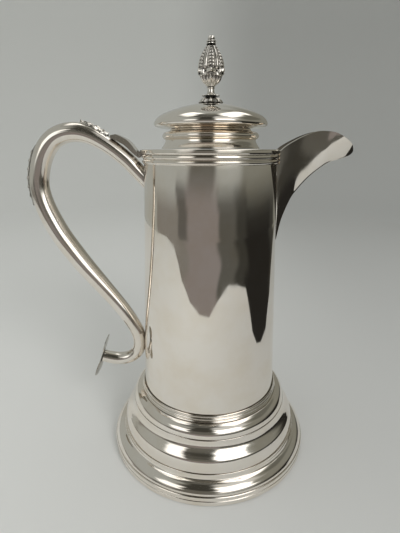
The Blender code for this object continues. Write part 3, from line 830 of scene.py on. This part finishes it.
def paper_material():
    """Pale paper with painted shade: a little darker towards the spout's side, where the light falls
    off.
    """
    material = bpy.data.materials.new("sweep_paper")
    material.use_nodes = True
    tree = material.node_tree
    shader = tree.nodes["Principled BSDF"]
    shader.inputs["Roughness"].default_value = 0.9
    place = tree.nodes.new("ShaderNodeTexCoord")
    split = tree.nodes.new("ShaderNodeSeparateXYZ")
    # The painted shade: a smooth step across x sets how far the paper darkens.
    side = tree.nodes.new("ShaderNodeMapRange")
    side.interpolation_type = "SMOOTHSTEP"
    side.inputs["From Min"].default_value = PAPER_PAINTED_SHADE_FROM
    side.inputs["From Max"].default_value = PAPER_PAINTED_SHADE_TO
    ramp = tree.nodes.new("ShaderNodeValToRGB")
    ramp.color_ramp.elements[0].color = (*PAPER, 1)
    ramp.color_ramp.elements[1].color = (*[c * PAPER_PAINTED_SHADE for c in PAPER], 1)
    tree.links.new(place.outputs["Object"], split.inputs["Vector"])
    tree.links.new(split.outputs["X"], side.inputs["Value"])
    tree.links.new(side.outputs["Result"], ramp.inputs["Fac"])
    tree.links.new(ramp.outputs["Color"], shader.inputs["Base Color"])
    return material


def ring_surface(name, profile):
    """An open surface turned about the axis, in metres, for the studio."""
    sides = 96
    turns = [2 * math.pi * k / sides for k in range(sides)]
    points = [(AXIS.x + r * math.cos(t), r * math.sin(t), z) for t in turns for r, z in profile]
    row = len(profile)
    faces = [(k * row + i, (k + 1) % sides * row + i, (k + 1) % sides * row + i + 1, k * row + i + 1)
             for k in range(sides) for i in range(row - 1)]
    mesh = bpy.data.meshes.new(name)
    mesh.from_pydata(points, [], faces)
    mesh.shade_smooth()
    obj = linked(name, mesh)
    return obj


def make_sweep():
    paper = paper_material()
    floor = ring_surface("floor", [(r, FLOOR_Z) for r in (0.0, 0.35, 0.75, FLOOR_R)])
    bowl = [(FLOOR_R + BOWL * math.sin(a), BOWL - BOWL * math.cos(a))
            for a in np.linspace(0.05, math.pi / 2, 24)]
    back = ring_surface("backdrop", [(FLOOR_R, FLOOR_Z), *bowl, (FLOOR_R + BOWL, 2 * BOWL)])
    for obj in (floor, back):
        obj.data.materials.append(paper)
    back.visible_glossy = False


# What the silver reflects: soft zones round the pot as azimuth and elevation limits in degrees, a
# softness, and a tone. Azimuth 0 is the side of the camera and 90 the side of the spout.
ROOM_TONE = (0.345, 0.355, 0.33)
ROOM_ZONES = (
    (-200, 200, 80, 110, 10, (0.17, 0.17, 0.15)),
    (-120, 100, 60, 86, 12, (0.085, 0.085, 0.075)),
    (52, 170, -40, 56, 14, (0.205, 0.205, 0.175)),
    (80, 130, 30, 54, 10, (0.125, 0.125, 0.105)),
    (-34, 9, -2, 74, 10, (0.120, 0.118, 0.103)),
    (-27, 6, 22, 68, 8, (0.045, 0.044, 0.037)),
    (-100, -34, -40, 0, 5, (0.20, 0.19, 0.17)),
    (-54, -30, -9, 3, 4, (0.105, 0.10, 0.09)),
    (-38, 16, -40, 3, 8, (0.215, 0.195, 0.185)),
    (13, 64, -40, 2, 6, (0.090, 0.088, 0.077)),
    (42, 134, -40, 1, 10, (0.040, 0.039, 0.033)),
    (60, 118, -40, -3, 10, (0.018, 0.017, 0.015)),
    (12, 66, 34, 70, 14, (0.60, 0.60, 0.58)),
    (11, 47, 9, 44, 6, (1.9, 1.9, 1.86)),
    (60, 144, 59, 80, 8, (1.7, 1.7, 1.65)),
    (134, 158, 47, 66, 6, (1.6, 1.6, 1.55)),
    (-156, -116, 60, 77, 7, (1.6, 1.6, 1.55)),
    (-114, -70, 62, 75, 7, (1.2, 1.2, 1.15)),
    (-52, -28, 9, 34, 6, (1.3, 1.3, 1.26)),
)
# How far the pale table reaches from the axis in metres at each azimuth, in reflections.
TABLE_EDGE = (
    (-180, 1.0), (-90, 1.0), (-75, 0.98), (-60, 0.85), (-45, 0.52), (-30, 0.40), (-15, 0.35),
    (0, 0.34), (15, 0.42), (30, 0.50), (45, 0.49), (60, 0.46), (72, 0.26), (80, 0.22),
    (90, 0.215), (105, 0.24), (120, 0.36), (135, 0.7), (150, 1.0), (180, 1.0),
)


def room_tone(azimuth, elevation):
    """The tone of the room in one direction; the first line keeps the zones' sides from being ruled."""
    azimuth += 2.5 * math.sin(elevation * 0.33 + 0.6) + 1.5 * math.sin(elevation * 0.9)
    tone = np.array(ROOM_TONE)
    for west, east, low, high, soft, colour in ROOM_ZONES:
        share = 1.0
        for gap in (azimuth - west, east - azimuth, elevation - low, high - elevation):
            t = min(1.0, max(0.0, gap / soft + 0.5))
            share *= t * t * (3 - 2 * t)
        tone = tone * (1 - share) + np.array(colour) * share
    return tone


def glow_surface(name, points, faces, tones):
    """A stage surface that only shows in reflections, with its own tone at each point."""
    mesh = bpy.data.meshes.new(name)
    mesh.from_pydata(points, [], faces)
    attribute = mesh.color_attributes.new("tone", "FLOAT_COLOR", "POINT")
    for entry, tone in zip(attribute.data, tones):
        entry.color = (*tone, 1.0)
    material = bpy.data.materials.new(name)
    material.use_nodes = True
    tree = material.node_tree
    tree.nodes.clear()
    source = tree.nodes.new("ShaderNodeAttribute")
    source.attribute_name = "tone"
    glow = tree.nodes.new("ShaderNodeEmission")
    end = tree.nodes.new("ShaderNodeOutputMaterial")
    tree.links.new(source.outputs["Color"], glow.inputs["Color"])
    tree.links.new(glow.outputs["Emission"], end.inputs["Surface"])
    material.cycles.emission_sampling = "NONE"
    mesh.materials.append(material)
    obj = linked(name, mesh)
    obj.visible_camera = obj.visible_diffuse = obj.visible_shadow = obj.visible_transmission = False


def make_room():
    """The studio seen in the silver: a dome of soft zones, and the dark floor past the table."""
    step = 2.0
    azimuths = np.arange(-180.0, 180.1, step)
    elevations = np.arange(-8.0, 90.1, step)
    points, tones = [], []
    for elevation in elevations:
        for azimuth in azimuths:
            a, e = math.radians(azimuth), math.radians(elevation)
            points.append((AXIS.x + math.sin(a) * math.cos(e), -math.cos(a) * math.cos(e),
                           max(0.0, 0.12 + math.sin(e))))
            tones.append(room_tone(azimuth, elevation))
    row = len(azimuths)
    faces = [(i * row + j, i * row + j + 1, (i + 1) * row + j + 1, (i + 1) * row + j)
             for i in range(len(elevations) - 1) for j in range(row - 1)]
    glow_surface("room_dome", points, faces, tones)

    points, tones = [], []
    edges = np.interp(azimuths, [a for a, _ in TABLE_EDGE], [r for _, r in TABLE_EDGE])
    rings = 13
    for azimuth, edge in zip(azimuths, edges):
        a = math.radians(azimuth)
        for share in np.linspace(0.0, 1.0, rings):
            radius = edge + (ROOM_R - edge) * share ** 1.6
            points.append((AXIS.x + radius * math.sin(a), -radius * math.cos(a), ROOM_FLOOR_Z))
            tones.append(room_tone(azimuth + 4.0 * math.sin(8.0 * share), -10.0))
    faces = [(k * rings + i, k * rings + i + 1, (k + 1) * rings + i + 1, (k + 1) * rings + i)
             for k in range(row - 1) for i in range(rings - 1)]
    glow_surface("room_floor", points, faces, tones)


def soft_light(name, place, aim, size, watts):
    data = bpy.data.lights.new(name, "AREA")
    data.shape = "RECTANGLE"
    data.size = data.size_y = size
    data.energy = watts
    light = linked(name, data)
    light.location = place
    light.rotation_euler = (Vector(aim) - Vector(place)).to_track_quat("-Z", "Y").to_euler()
    light.visible_camera = light.visible_glossy = False


def make_lights():
    soft_light("right_window", (0.62, -0.85, 0.72), (0, 0, 0.05), 0.42, 5.8)
    soft_light("ceiling", (-0.5, -0.1, 1.5), (-0.1, 0.1, 0.0), 1.6, 5.2)
    world = bpy.data.worlds.new("World")
    world.use_nodes = True
    background = world.node_tree.nodes["Background"]
    background.inputs["Color"].default_value = (0.97, 1.0, 0.97, 1)
    background.inputs["Strength"].default_value = 0.53
    bpy.context.scene.world = world


CAMERA_AWAY, CAMERA_UP = 0.2398, 0.2082
CAMERA_TILT, CAMERA_TURN = 72.25, 1.55
CAMERA_LENS = 24.72


def make_camera():
    data = bpy.data.cameras.new("camera")
    data.sensor_fit = "AUTO"
    data.sensor_width = 36.0
    data.lens = CAMERA_LENS
    data.clip_start = 0.01
    camera = linked("camera", data)
    camera.location = (AXIS.x, -CAMERA_AWAY, CAMERA_UP)
    camera.rotation_euler = (math.radians(CAMERA_TILT), 0.0, math.radians(CAMERA_TURN))
    bpy.context.scene.camera = camera


make_camera()
make_body()
make_base()
make_spout()
make_handle()
make_leaves()
make_terminal()
make_lid()
make_rosette()
make_neck()
make_calyx()
make_bud()
make_knob()
keep_cad_pieces()
make_sweep()
make_room()
make_lights()
bpy.context.scene.view_settings.view_transform = "Standard"
